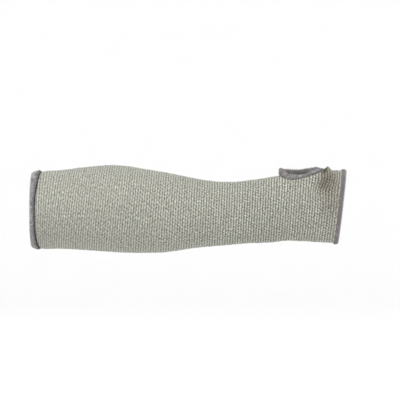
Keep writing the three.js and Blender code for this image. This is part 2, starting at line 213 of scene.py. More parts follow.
def colour(name, description, red, green, blue):
    """A colour that the user can change, from its screen values of 0 to 255."""
    linear = [((value / 255 + 0.055) / 1.055) ** 2.4 for value in (red, green, blue)]
    return FloatVectorProperty(
        name=name, description=description, default=linear, subtype="COLOR", size=3, min=0, max=1
    )


class SleeveForm(bpy.types.PropertyGroup):
    """Sizes of the worn sleeve over the knit."""

    length: size("Length", "From the upper-arm edge to the top of the hand edge", 0.406)
    upper_arm_height: size("Upper arm height", "Height of the sleeve at the upper arm", 0.1016)
    upper_arm_depth: size("Upper arm depth", "Depth of the sleeve at the upper arm", 0.0955)
    forearm_height: size("Forearm height", "Height of the sleeve at the forearm", 0.1127)
    forearm_depth: size("Forearm depth", "Depth of the sleeve at the forearm", 0.0995)
    wrist_height: size("Wrist height", "Height of the sleeve at the wrist", 0.081)
    wrist_depth: size("Wrist depth", "Depth of the sleeve at the wrist", 0.0605)
    palm_height: size("Palm height", "Height of the sleeve at the palm", 0.0946)
    palm_depth: size("Palm depth", "Depth of the sleeve at the palm", 0.046)
    wall: size("Wall", "Thickness of the knit", 0.0018)
    fold_depth: size("Fold depth", "How deep the folds and hollows of the worn knit are", 0.003)
    clearance: size("Clearance", "Gap between the knit's solid and its edgings", 0.0003)
    hand_edge_lean: FloatProperty(
        name="Hand edge lean",
        description="How far the hand edge leans outwards on the thumb side",
        default=math.radians(6.8),
        subtype="ANGLE",
    )
    hole_length: size("Thumb hole length", "Length of the thumb hole in the knit", 0.0436)
    hole_width: size("Thumb hole width", "Width of the thumb hole in the knit", 0.0226)
    hole_taper: share("Thumb hole taper", "How much the thumb hole narrows towards the hand", 0.60)
    hole_from_hand: size("Thumb hole from hand", "From the hand edge to the middle of the thumb hole", 0.0541)
    hole_towards_palm: size("Thumb hole towards palm", "From the thumb side's middle to the hole's", 0.003)
    collar_rise: size("Collar rise", "How high the knit rises round the thumb hole", 0.0062)
    collar_foot: size("Collar foot", "How far the collar's foot reaches besides its rise", 0.0046)
    collar_spread: share("Collar spread", "Share of its rise that the collar's foot reaches", 0.7)
    ridge_rise: size("Ridge rise", "Height of the ridge beyond the hole's hand end", 0.005)
    ridge_half_width: size("Ridge half width", "Half width of that ridge", 0.0028)
    ridge_from_edging: size("Ridge from edging", "From the hole's edging to the top of that ridge", 0.005)


class SleeveKnit(bpy.types.PropertyGroup):
    """The purl side of a plain knit."""

    courses: IntProperty(name="Courses", description="Rows of stitches along the sleeve", default=124, min=20)
    wales: IntProperty(name="Wales", description="Stitches round the sleeve", default=60, min=12)
    tightening: share("Tightening", "How much closer the courses lie at the upper arm", 0.020)
    ridge: size("Ridge", "How far each course stands out of the knit's face", 0.00022)
    gap: size("Gap", "How deep the gap between two courses is", 0.00062)
    wave: share("Wave", "How far each stitch swings along the sleeve, in courses", 0.11)
    unevenness: share("Unevenness", "How much stitches differ from each other", 0.36)
    groove: size("Groove", "How deep the knit is pulled in beside the upper-arm edging", 0.0011)
    flat_girth: size("Flat girth", "Girth of the sleeve before it is stretched", 0.23)


class SleeveEdging(bpy.types.PropertyGroup):
    """Sizes of the overlocked edges."""

    upper_width: size("Upper-arm width", "Width of the edging on the knit at the upper arm", 0.0082)
    upper_thickness: size("Upper-arm thickness", "Thickness of the edging at the upper arm", 0.0022)
    hand_width: size("Hand width", "Width of the edging on the knit at the hand", 0.0038)
    hand_thickness: size("Hand thickness", "Thickness of the edging at the hand", 0.0013)
    thumb_width: size("Thumb hole width", "Width of the edging on the knit round the thumb hole", 0.005)
    thumb_thickness: size("Thumb hole thickness", "Thickness of the edging round the thumb hole", 0.0016)
    inner_thread: size("Inner thread", "Thickness of the thread inside the sleeve", 0.0009)
    thread: size("Thread", "Radius of the overlock thread", 0.00054)
    # Painted shade: the near-black thread stands in for the shade in the groove beside the upper-arm edging
    groove_thread: size("Groove thread", "Radius of the dark thread beside the upper-arm edging", 0.0009)
    stitch: size("Stitch", "Spacing of the overlock stitches along the edge", 0.0027)


class SleeveColours(bpy.types.PropertyGroup):
    """Colours of the yarn and the thread."""

    yarn_light: colour("Light yarn", "Lightest fibres of the melange yarn", 183, 184, 173)
    yarn: colour("Yarn", "Middle tone of the melange yarn", 157, 157, 147)
    yarn_dark: colour("Dark yarn", "Darkest fibres of the melange yarn", 117, 118, 108)
    # Painted shade: the yarn's colour deep in the gaps between courses, where shade falls. Overlock stitches
    # take it where they leave the knit, and it is the groove thread's lightest tone
    yarn_gap: colour("Gap", "Yarn deep between two courses", 80, 81, 74)
    thread_light: colour("Light thread", "Lightest overlock thread, with a mauve cast", 171, 165, 167)
    thread: colour("Thread", "Middle tone of the overlock thread", 104, 101, 100)
    thread_blue: colour("Blue thread", "Bluish patches of the overlock thread", 112, 115, 126)
    # Painted shade: middle tone of the thread at the hand and round the thumb hole, where the hand edging is
    # painted darker for the shade there
    thread_hand: colour("Hand thread", "Overlock thread at the hand, darker from wear", 106, 101, 100)
    # Painted shade: round the thumb hole the lightest thread is a darker copy of the light thread, since that
    # edging faces up into more light
    thread_thumb: colour("Thumb hole thread", "Lightest overlock thread round the thumb hole", 152, 148, 149)
    # Painted shade: the near-black thread in the groove beside the upper-arm edging stands in for that
    # groove's shade
    thread_dark: colour("Dark thread", "Thread in the groove beside the upper-arm edging", 36, 37, 32)
    # Painted shade: what the yarn's colour is multiplied by in the palm's hollow and the fold beside the
    # thumb hole, warm for painted reflection
    grime: colour("Grime", "What grime multiplies the yarn's colour by", 200, 190, 184)


class SleeveStage(bpy.types.PropertyGroup):
    """Camera, floor and light."""

    picture_width: size("Picture width", "Width that the picture shows at the sleeve's middle", 0.5173)
    camera_x: size("Camera place", "How far along the sleeve the camera stands", 0.2171)
    camera_height: size("Camera height", "Height of the camera", 0.0129)
    camera_distance: size("Camera distance", "From the camera to the sleeve's middle plane", 2.8)
    floor_drop: size("Floor drop", "How far below the sleeve's middle the floor lies", 0.34)
    room_radius: size("Room radius", "Radius of the pale sweep round the floor", 6.5)
    key_power: power("Key light", "Power of the large soft light", 60)
    fill_power: power("Fill light", "Power of the light beside it", 5)
    sky: share("Sky", "Strength of the even light from all round", 1.0)


class SleeveSettings(bpy.types.PropertyGroup):
    """Everything that the sleeve is made from."""

    form: PointerProperty(type=SleeveForm)
    knit: PointerProperty(type=SleeveKnit)
    edging: PointerProperty(type=SleeveEdging)
    colours: PointerProperty(type=SleeveColours)
    stage: PointerProperty(type=SleeveStage)


def smooth_line(places, values):
    """A smooth line through the values of one column, straight beyond its ends."""
    slopes = np.empty_like(values)
    slopes[1:-1] = (values[2:] - values[:-2]) / (places[2:] - places[:-2])
    slopes[0] = (values[1] - values[0]) / (places[1] - places[0])
    slopes[-1] = (values[-1] - values[-2]) / (places[-1] - places[-2])

    def line(x):
        after = np.clip(np.searchsorted(places, x), 1, len(places) - 1)
        before = after - 1
        span = places[after] - places[before]
        part = (x - places[before]) / span
        blend = values[before] + (values[after] - values[before]) * part * part * (3 - 2 * part)
        leave = slopes[before] * span * part * (1 - part) ** 2
        arrive = slopes[after] * span * part**2 * (1 - part)
        left = values[0] + slopes[0] * (x - places[0])
        right = values[-1] + slopes[-1] * (x - places[-1])
        inside = np.where(x > places[-1], right, blend + leave - arrive)
        return np.where(x < places[0], left, inside)

    return line


def signed_power(value, exponent):
    return np.sign(value) * np.abs(value) ** exponent


def smooth_step(value):
    """From 0 to 1, with level ends, as value goes from 0 to 1."""
    part = np.clip(value, 0, 1)
    return part * part * (3 - 2 * part)


def unit(vectors):
    return vectors / np.maximum(np.linalg.norm(vectors, axis=-1, keepdims=True), 1e-12)


class WornForm:
    """The knit's outer face as it is worn. A place on it is a station along the sleeve and a share of the
    way round, in even steps of length: 0 is the palm side, 0.25 the thumb side and 0.5 the back."""

    TURN_SAMPLES = 481
    AROUND_SAMPLES = 361
    STATIONS = 240
    # The stations reach a little past both ends, as shares of the length
    REACH = (-0.04, 1.06)

    def __init__(self, form, edging):
        self.form = form
        self.thumb_band = edging.thumb_width
        along = np.array([row.along for row in SECTIONS]) * form.length
        heights = np.array([getattr(form, row.girth + "_height") for row in SECTIONS])
        depths = np.array([getattr(form, row.girth + "_depth") for row in SECTIONS])

        def line(name, scale=1.0):
            return smooth_line(along, np.array([getattr(row, name) for row in SECTIONS]) * scale)

        self.half_height = line("height", heights / 2)
        self.half_depth = line("depth", depths / 2)
        self.middle = line("rise", heights)
        self.square = line("square")
        self.thumb_side = line("thumb_side")
        self.lean = line("lean", math.tan(form.hand_edge_lean))
        self.stations = np.linspace(*self.REACH, self.STATIONS) * form.length
        self.turns, self.girths = self.even_turns()

        hand_top = float(self.half_height(form.length) + self.middle(form.length))
        self.hand_station = form.length - math.tan(form.hand_edge_lean) * hand_top
        self.upper_edge = form.clearance + edging.upper_thickness
        self.hand_edge = self.hand_station - form.clearance - edging.hand_thickness
        self.hole_station = self.hand_station - form.hole_from_hand
        self.hole_girth = float(self.girth(self.hole_station))
        self.hole_around = 0.25 - form.hole_towards_palm / self.hole_girth

    def section(self, x, turn):
        """Points of the outlines across the sleeve."""
        angle = 2 * np.pi * turn
        exponent = 2 / self.square(x)
        up = signed_power(np.sin(angle), exponent)
        front = signed_power(np.cos(angle), exponent)
        y = -self.half_depth(x) * front * (1 + self.thumb_side(x) * up)
        z = self.middle(x) + self.half_height(x) * up
        return np.stack(np.broadcast_arrays(x, y, z), axis=-1)

    def even_turns(self):
        """For each station, the turn at even steps of length round the outline, and the girth."""
        turn = np.linspace(0, 1, self.TURN_SAMPLES)
        points = self.section(self.stations[:, None], turn[None, :])
        steps = np.linalg.norm(np.diff(points, axis=1), axis=2)
        reached = np.concatenate([np.zeros((len(steps), 1)), np.cumsum(steps, axis=1)], axis=1)
        even = np.linspace(0, 1, self.AROUND_SAMPLES)
        turns = np.array([np.interp(even * row[-1], row, turn) for row in reached])
        return turns, reached[:, -1]

    def girth(self, at):
        return np.interp(at, self.stations, self.girths)

    def turn(self, at, around):
        """The outline's turn at a station and a share of the way round."""
        row = (at - self.stations[0]) / (self.stations[1] - self.stations[0])
        low = np.clip(np.floor(row).astype(int), 0, self.STATIONS - 2)
        column = np.mod(around, 1) * (self.AROUND_SAMPLES - 1)
        left = np.clip(np.floor(column).astype(int), 0, self.AROUND_SAMPLES - 2)
        past = column - left
        near = self.turns[low, left] * (1 - past) + self.turns[low, left + 1] * past
        far = self.turns[low + 1, left] * (1 - past) + self.turns[low + 1, left + 1] * past
        return near + (far - near) * (row - low)

    def tube(self, at, around):
        """The plain tube. Towards the hand its points lean along the outline as the hand edge does."""
        turn = self.turn(at, around)
        z = self.section(at, turn)[..., 2]
        return self.section(at + self.lean(at) * z, turn)

    def hole_taper(self, along):
        share_along = np.clip(along / (self.form.hole_length / 2 + self.thumb_band), -1, 1)
        return 1 - self.form.hole_taper / 2 * np.sin(share_along * np.pi / 2)

    def beside_hole(self, angle, outside):
        """A place outside the thumb hole's edge, or inside it where outside is negative."""
        along = (self.form.hole_length / 2 + outside) * np.cos(angle)
        across = (self.form.hole_width / 2 + outside) * np.sin(angle) * self.hole_taper(along)
        return self.hole_station + along, self.hole_around + across / self.hole_girth

    def from_hole(self, at, around):
        """How far a place lies outside the thumb hole, and in which direction."""
        along = at - self.hole_station
        turned = np.mod(around - self.hole_around + 0.5, 1) - 0.5
        across = turned * self.hole_girth / self.hole_taper(along)
        hand = along / (self.form.hole_length / 2)
        back = across / (self.form.hole_width / 2)
        # Kept off 0, so that the hole's middle has a direction too
        reach = np.maximum(np.hypot(hand, back), 0.5)
        return np.hypot(along, across) * (1 - 1 / reach), hand / reach, back / reach

    def collar_rise(self, hand, back):
        """How high the collar's edge rises in a direction from the hole, smooth between its rows."""
        shares = np.array([row.share for row in COLLAR])
        place = np.mod(np.arctan2(back, hand) / (2 * np.pi), 1) * len(COLLAR)
        row = np.floor(place).astype(int)
        blend = smooth_step(place - row)
        here, there = shares[row % len(COLLAR)], shares[(row + 1) % len(COLLAR)]
        return self.form.collar_rise * (here + (there - here) * blend)

    def add_collar(self, points, at, around):
        """The knit rises and flares round the thumb hole, and a ridge stands beyond its hand end."""
        outside, hand, back = self.from_hole(at, around)
        rise = self.collar_rise(hand, back)
        reach = self.form.collar_foot + self.form.collar_spread * rise
        lift = rise * np.clip(1 - outside / reach, 0, None) ** 2
        from_ridge = (outside - self.thumb_band - self.form.ridge_from_edging) / self.form.ridge_half_width
        ridge = self.form.ridge_rise * np.exp(-(from_ridge**2)) * np.clip(hand, 0, None) ** 3
        points[..., 0] += lift * hand
        points[..., 1] += (lift + ridge) * back
        points[..., 2] += lift + ridge

    def add_folds(self, points, at, around):
        """Folds push the knit in or out, square to the tube."""
        outwards = np.zeros_like(points)
        outwards[..., 1] = points[..., 1] / self.half_depth(at) ** 2
        outwards[..., 2] = (points[..., 2] - self.middle(at)) / self.half_height(at) ** 2
        outwards = unit(outwards)
        for fold in FOLDS:
            along = at - fold.along * self.form.length
            across = (np.mod(around - fold.around + 0.5, 1) - 0.5) * self.girth(at)
            tilt = math.radians(fold.tilt)
            length = (along * math.cos(tilt) + across * math.sin(tilt)) / fold.long
            width = (across * math.cos(tilt) - along * math.sin(tilt)) / fold.wide
            from_middle = (length**2 + width**2) / self.form.palm_height**2
            depth = fold.out * self.form.fold_depth * np.exp(-from_middle)
            points += outwards * depth[..., None]

    def place(self, at, around):
        points = self.tube(at, around)
        self.add_folds(points, at, around)
        self.add_collar(points, at, around)
        return points

    def above(self, at, around, height):
        """Points above the knit's outer face by height, or inside it where height is negative."""
        at, around, height = np.broadcast_arrays(at, around, height)
        step_along = 0.0004
        step_around = 0.0015
        along = self.place(at + step_along, around) - self.place(at - step_along, around)
        over = self.place(at, around + step_around) - self.place(at, around - step_around)
        return self.place(at, around) + unit(np.cross(along, over)) * height[..., None]


class Skin:
    """The points and faces of one piece, gathered before its mesh is made."""

    def __init__(self):
        self.points = []
        self.count = 0
        self.loops = []
        self.sizes = []
        self.uvs = []
        self.slots = []

    def add(self, points):
        """Adds a grid of points and gives the grid of their numbers."""
        flat = np.asarray(points, dtype=float).reshape(-1, 3)
        numbers = self.count + np.arange(len(flat)).reshape(np.shape(points)[:-1])
        self.points.append(flat)
        self.count += len(flat)
        return numbers

    def faces(self, corners, uvs=None, slot=0):
        """Adds faces: corners is (faces, corners), and uvs is (faces, corners, 2) or all 0."""
        if uvs is None:
            uvs = np.zeros((*corners.shape, 2))
        self.loops.append(corners.reshape(-1))
        self.sizes.append(np.full(len(corners), corners.shape[1]))
        self.uvs.append(np.asarray(uvs, dtype=float).reshape(-1, 2))
        self.slots.append(np.full(len(corners), slot))

    def quads(self, ids, row, column, along, across, slot=0, order=(0, 1, 2, 3)):
        """Quads that start at those rows and columns of a grid of point numbers, which may close. along
        has the first value of the UV map at each row, and across is how many columns count as 1 in the
        second. order is that of the corners, so that they face the right way."""
        corners = [(row, column), (row, column + 1), (row + 1, column + 1), (row + 1, column)]
        places = np.stack([np.stack(corners[corner], axis=-1) for corner in order], axis=1)
        numbers = ids[places[..., 0] % len(ids), places[..., 1] % ids.shape[1]]
        self.faces(numbers, np.stack([along[places[..., 0]], places[..., 1] / across], axis=-1), slot)

    def piece(self, name, materials):
        """Makes the mesh and its object."""
        points = np.concatenate(self.points)
        used, loops = np.unique(np.concatenate(self.loops), return_inverse=True)
        sizes = np.concatenate(self.sizes)
        starts = np.concatenate([[0], np.cumsum(sizes)[:-1]])
        mesh = bpy.data.meshes.new(name)
        mesh.vertices.add(len(used))
        mesh.vertices.foreach_set("co", points[used].astype(np.float32).ravel())
        mesh.loops.add(len(loops))
        mesh.loops.foreach_set("vertex_index", loops.astype(np.int32).ravel())
        mesh.polygons.add(len(sizes))
        mesh.polygons.foreach_set("loop_start", starts.astype(np.int32))
        mesh.polygons.foreach_set("material_index", np.concatenate(self.slots).astype(np.int32))
        layer = mesh.uv_layers.new(name=UV_NAME)
        layer.data.foreach_set("uv", np.concatenate(self.uvs).astype(np.float32).ravel())
        mesh.update(calc_edges=True)
        if mesh.validate():
            raise RuntimeError(f"{name}: the mesh has faulty faces")
        mesh.shade_smooth()
        for material in materials:
            mesh.materials.append(material)
        piece = bpy.data.objects.new(name, mesh)
        bpy.context.scene.collection.objects.link(piece)
        return piece


def cells(*counts):
    """The place of every cell of a grid, in each of its directions."""
    places = np.meshgrid(*(np.arange(count) for count in counts), indexing="ij")
    return [place.ravel() for place in places]


class Nodes:
    """Writes a node tree in few words."""

    def __init__(self, tree):
        self.tree = tree

    def add(self, kind, **settings):
        node = self.tree.nodes.new(kind)
        for name, value in settings.items():
            setattr(node, name, value)
        return node

    def put(self, value, socket):
        """Links a socket, or sets a plain value."""
        if isinstance(value, bpy.types.NodeSocket):
            self.tree.links.new(value, socket)
        else:
            socket.default_value = value

    def filled(self, node, values):
        """The first output of a node whose named or numbered inputs are filled."""
        for name, value in values.items():
            self.put(value, node.inputs[name])
        return node.outputs[0]

    def math(self, operation, *values):
        return self.filled(self.add("ShaderNodeMath", operation=operation), dict(enumerate(values)))

    def times(self, first, second):
        return self.math("MULTIPLY", first, second)

    def times_plus(self, first, second, third):
        return self.math("MULTIPLY_ADD", first, second, third)

    def plus(self, first, second):
        return self.math("ADD", first, second)

    def minus(self, first, second):
        return self.math("SUBTRACT", first, second)

    def ripple(self, value):
        """From 0 to 1 and back each time that value goes on by a full turn."""
        return self.times_plus(self.math("SINE", value), 0.5, 0.5)

    def off_middle(self, value):
        """How far value lies from the middle between two whole numbers."""
        return self.math("ABSOLUTE", self.minus(self.math("FRACT", value), 0.5))

    def step(self, value, low, high):
        """0 below low, 1 above high and smooth between."""
        node = self.add("ShaderNodeMapRange", interpolation_type="SMOOTHSTEP")
        return self.filled(node, {"Value": value, "From Min": low, "From Max": high})

    def mix(self, factor, first, second, blend="MIX"):
        node = self.add("ShaderNodeMix", data_type="RGBA", blend_type=blend)
        self.filled(node, {0: factor, 6: first, 7: second})
        return node.outputs[2]

    def shaded(self, tone, value):
        """A colour made lighter or darker by a factor."""
        return self.filled(self.add("ShaderNodeHueSaturation"), {"Value": value, "Color": tone})

    def vector(self, x, y):
        return self.filled(self.add("ShaderNodeCombineXYZ"), {0: x, 1: y})

    def parts(self, vector):
        node = self.add("ShaderNodeSeparateXYZ")
        self.put(vector, node.inputs[0])
        return node.outputs

    def object_place(self):
        return self.add("ShaderNodeTexCoord").outputs["Object"]

    def noise(self, vector, scale, detail, roughness):
        values = {"Vector": vector, "Scale": scale, "Detail": detail, "Roughness": roughness}
        return self.filled(self.add("ShaderNodeTexNoise"), values)


GREY = (0.5, 0.5, 0.5, 1.0)


def node_group(name, outputs, **inputs):
    """A shader node group with named sockets: its tree, nodes, inputs and outputs. An input that starts
    as grey is a colour, and so is the output Color. The others are numbers."""
    group = bpy.data.node_groups.new(name, "ShaderNodeTree")
    for socket, default in inputs.items():
        kind = "NodeSocketColor" if default is GREY else "NodeSocketFloat"
        group.interface.new_socket(socket, in_out="INPUT", socket_type=kind).default_value = default
    for socket in outputs:
        kind = "NodeSocketColor" if socket == "Color" else "NodeSocketFloat"
        group.interface.new_socket(socket, in_out="OUTPUT", socket_type=kind)
    nodes = Nodes(group)
    return group, nodes, nodes.add("NodeGroupInput").outputs, nodes.add("NodeGroupOutput").inputs


def melange_group(name):
    """Spun melange yarn: flecks of light and dark fibre that lie along the yarn, and its twist.
    Along and Across count courses and wales, so that flecks keep their size in stitches."""
    group, nodes, given, result = node_group(
        name, ("Color", "Height"), Along=0.0, Across=0.0, Light=GREY, Middle=GREY, Dark=GREY, Flecks=1.0
    )
    along = given["Along"]
    across = given["Across"]
    stitch = nodes.noise(nodes.vector(along, nodes.times(across, 1.1)), 1.35, 1.0, 0.4)
    streak = nodes.noise(nodes.vector(nodes.times(along, 5.0), nodes.times(across, 1.6)), 1.0, 3.0, 0.6)
    fibre = nodes.noise(nodes.vector(nodes.times(along, 22.0), nodes.times(across, 7.0)), 1.0, 2.0, 0.6)
    mixed = nodes.times_plus(stitch, 0.9, nodes.times_plus(streak, 0.8, nodes.times(fibre, 0.4)))
    # Each noise lies about 0.5
    average = 0.5 * (0.9 + 0.8 + 0.4)
    spread = nodes.times(nodes.minus(mixed, average), given["Flecks"])
    lighter = nodes.step(spread, 0.02, 0.30)
    darker = nodes.step(nodes.times(spread, -1.0), 0.02, 0.30)
    tone = nodes.mix(lighter, nodes.mix(darker, given["Middle"], given["Dark"]), given["Light"])
    twist = nodes.ripple(nodes.times_plus(across, 60.0, nodes.times(along, 26.0)))
    nodes.put(tone, result["Color"])
    nodes.put(nodes.times_plus(twist, 0.5, fibre), result["Height"])
    return group


def handling_group(name):
    """Slow changes of tone over some centimetres, as knit that was stretched and handled has. Amount is
    how far the tone swings, and Size how many changes fit in a metre."""
    group, nodes, given, result = node_group(name, ("Color",), Color=GREY, Amount=0.1, Size=30.0)
    slow = nodes.noise(nodes.object_place(), given["Size"], 3.0, 0.55)
    swing = nodes.times(nodes.minus(slow, 0.5), given["Amount"])
    nodes.put(nodes.shaded(given["Color"], nodes.plus(swing, 1.0)), result["Color"])
    return group


def painted_shade_group(name):
    """Painted shade on the palm side, at the spots listed in the table near the top, with a warm cast of
    painted reflection. The second colour is what the colour is multiplied by where the shade is darkest."""
    group, nodes, given, result = node_group(name, ("Color",), Color=GREY, Grime=GREY)
    place_x, place_y, place_z = nodes.parts(nodes.object_place())
    blend = 0.012
    palm_side = nodes.step(nodes.times(place_y, -1.0), 0.0, blend)
    tone = given["Color"]
    # Each spot is painted shade, darkest in its middle and fading to its edge
    for spot in PAINTED_SHADE:
        tilt = math.radians(spot.tilt)
        x = nodes.minus(place_x, spot.x)
        z = nodes.minus(place_z, spot.z)
        length = nodes.times_plus(x, math.cos(tilt), nodes.times(z, math.sin(tilt)))
        width = nodes.times_plus(z, math.cos(tilt), nodes.times(x, -math.sin(tilt)))
        length = nodes.math("DIVIDE", length, spot.long)
        width = nodes.math("DIVIDE", width, spot.wide)
        reach = nodes.math("SQRT", nodes.times_plus(length, length, nodes.times(width, width)))
        inside = nodes.step(nodes.minus(1.0, reach), 0.0, 1.0)
        amount = nodes.times(nodes.times(inside, palm_side), spot.amount)
        tone = nodes.mix(amount, tone, given["Grime"], "MULTIPLY")
    nodes.put(tone, result["Color"])
    return group


def thread_group(name):
    """Textured overlock thread: plies that turn round it, and tones that change along the edge."""
    group, nodes, given, result = node_group(
        name, ("Color", "Height"), Along=0.0, Round=0.0, Light=GREY, Middle=GREY, Blue=GREY, Lightness=0.5
    )
    place = nodes.object_place()
    patch = nodes.noise(place, 230.0, 2.0, 0.5)
    fleck = nodes.noise(place, 520.0, 2.0, 0.6)
    blue = nodes.step(nodes.noise(place, 60.0, 1.0, 0.5), 0.44, 0.76)
    light = nodes.times_plus(fleck, 0.8, nodes.times_plus(patch, 0.8, given["Lightness"]))
    tone = nodes.mix(nodes.step(light, 0.70, 0.96), given["Middle"], given["Light"])
    tone = nodes.mix(nodes.times(blue, 0.55), tone, given["Blue"])
    two_plies = 4 * math.pi
    ply = nodes.ripple(nodes.times_plus(given["Round"], two_plies, nodes.times(given["Along"], 5.0)))
    # Painted shade between the plies and painted light on their crowns, in step with their bump
    nodes.put(nodes.shaded(tone, nodes.times_plus(ply, 0.24, 0.86)), result["Color"])
    nodes.put(nodes.times_plus(ply, 0.7, nodes.times(fleck, 0.5)), result["Height"])
    return group


GROUPS = {
    "Melange yarn": melange_group,
    "Handling": handling_group,
    "Palm grime": painted_shade_group,
    "Spun thread": thread_group,
}


def rgba(value):
    return (*value, 1.0)


class Cloth:
    """A material with one Principled shader, filled through the shared node groups."""

    def __init__(self, name, roughness, sheen):
        self.material = bpy.data.materials.new(name)
        self.material.use_nodes = True
        self.nodes = Nodes(self.material.node_tree)
        self.shader = self.material.node_tree.nodes["Principled BSDF"].inputs
        self.shader["Roughness"].default_value = roughness
        self.shader["Specular IOR Level"].default_value = 0.25
        self.shader["Sheen Weight"].default_value = sheen
        self.shader["Sheen Roughness"].default_value = 0.6
        layer = self.nodes.add("ShaderNodeUVMap", uv_map=UV_NAME)
        self.u, self.v = self.nodes.parts(layer.outputs[0])[:2]

    def group(self, name, **values):
        """A node group in this material, made when the first material needs it."""
        tree = bpy.data.node_groups.get(name) or GROUPS[name](name)
        node = self.nodes.add("ShaderNodeGroup", node_tree=tree)
        self.nodes.filled(node, values)
        return node.outputs

    def yarn(self, colours, flecks):
        return self.group(
            "Melange yarn",
            Along=self.u,
            Across=self.v,
            Light=rgba(colours.yarn_light),
            Middle=rgba(colours.yarn),
            Dark=rgba(colours.yarn_dark),
            Flecks=flecks,
        )

    def handled(self, tone):
        return self.group("Handling", Color=tone, Amount=0.16, Size=26.0)["Color"]

    def thread(self, light, middle, blue, lightness):
        return self.group(
            "Spun thread",
            Along=self.u,
            Round=self.v,
            Light=rgba(light),
            Middle=rgba(middle),
            Blue=rgba(blue),
            Lightness=lightness,
        )

    def finish(self, tone, height, distance, strength):
        """Feeds the colour and a bump: distance is the height in metres that 1 stands for."""
        bump = self.nodes.add("ShaderNodeBump")
        self.nodes.filled(bump, {"Strength": strength, "Distance": distance, "Height": height})
        self.nodes.put(bump.outputs[0], self.shader["Normal"])
        self.nodes.put(tone, self.shader["Base Color"])
        return self.material


def purl_material(colours):
    """Outer face of the knit: the yarn's colour on the crowns of the courses, and painted shade in the gaps
    between them.
    """
    cloth = Cloth("Purl side", 0.92, 0.12)
    nodes = cloth.nodes
    # The stitches show more clearly where the knit is stretched less, from the forearm to the hand edge: more
    # flecks, and deeper painted shade in the gaps
    tight = nodes.step(cloth.u, 30.0, 100.0)
    yarn = cloth.yarn(colours, nodes.times_plus(tight, 0.35, 1.10))
    wander = nodes.noise(nodes.vector(cloth.u, cloth.v), 2.1, 2.0, 0.6)
    course = nodes.math("FLOOR", cloth.u)
    half_stitch = nodes.math("FRACT", nodes.times(course, 0.5))
    drift = nodes.noise(nodes.vector(nodes.times(course, 3.7), nodes.times(cloth.v, 0.35)), 1.0, 1.0, 0.5)
    stitch = nodes.plus(nodes.plus(cloth.v, half_stitch), drift)
    wale = nodes.math("COSINE", nodes.times(stitch, 2 * math.pi))
    between = nodes.times_plus(wale, -0.09, nodes.off_middle(cloth.u))
    # Painted shade: the yarn is darkened towards the gap colour deep between courses, and a little more
    # between wales, where shade falls
    depth = nodes.step(nodes.times_plus(wander, 0.56, between), 0.43, 0.77)
    contrast = nodes.times_plus(tight, 0.20, 0.80)
    tone = nodes.mix(nodes.times(depth, contrast), yarn["Color"], rgba(colours.yarn_gap))
    # Painted shade in the palm's hollow and in the fold beside the thumb hole
    tone = cloth.group("Palm grime", Color=cloth.handled(tone), Grime=rgba(colours.grime))["Color"]
    return cloth.finish(tone, yarn["Height"], 0.00012, 0.7)


def jersey_material(colours):
    """Inner face of the knit: columns of V stitches, with painted shade between their legs and between the
    columns.
    """
    cloth = Cloth("Jersey side", 0.92, 0.12)
    nodes = cloth.nodes
    yarn = cloth.yarn(colours, 0.8)
    across = nodes.off_middle(cloth.v)
    leg = nodes.math("FRACT", nodes.times_plus(across, 1.1, cloth.u))
    crown = nodes.math("SINE", nodes.times(leg, math.pi))
    furrow = nodes.step(across, 0.02, 0.10)
    edge = nodes.step(nodes.minus(0.5, across), 0.01, 0.10)
    height = nodes.times(crown, nodes.times(furrow, edge))
    # Painted shade: the yarn is darkened between the legs of the V stitches and between their columns, where
    # shade falls
    gap = nodes.minus(1.0, nodes.step(height, 0.10, 0.60))
    tone = nodes.mix(nodes.times(gap, 0.8), yarn["Color"], rgba(colours.yarn_gap))
    relief = nodes.times_plus(yarn["Height"], 0.12, height)
    return cloth.finish(cloth.handled(tone), relief, 0.0006, 0.9)


def thread_material(name, colours, lightness, middle, root=0.0, light=None):
    """Overlock thread. lightness says how much of its lightest tone shows, and light is that tone where it
    isn't the usual one. root is how much of a stitch, in tenths, takes painted shade where it leaves the
    knit."""
    cloth = Cloth(name, 0.85, 0.2)
    nodes = cloth.nodes
    thread = cloth.thread(light or colours.thread_light, middle, colours.thread_blue, lightness)
    tone = thread["Color"]
    # Painted shade at the root of each stitch, where it goes into the knit
    if root:
        shade = nodes.minus(1.0, nodes.step(cloth.u, 0.0, root))
        tone = nodes.mix(nodes.times(shade, 0.75), tone, rgba(colours.yarn_gap))
    return cloth.finish(tone, thread["Height"], 0.00008, 0.7)


def groove_shade_material(colours):
    """A near-black thread in the groove beside the upper-arm edging, which stands in for the shade in that
    groove: painted shade.
    """
    cloth = Cloth("Groove thread", 0.9, 0.05)
    thread = cloth.thread(colours.yarn_gap, colours.thread_dark, colours.thread_dark, 0.0)
    return cloth.finish(thread["Color"], thread["Height"], 0.00008, 0.6)


def stack_profile(rows, count):
    """Rows of distance and height as one array, at a number of places along an edge."""
    everywhere = np.zeros(count)
    return np.stack([np.stack([everywhere + part for part in row], axis=-1) for row in rows], axis=-2)


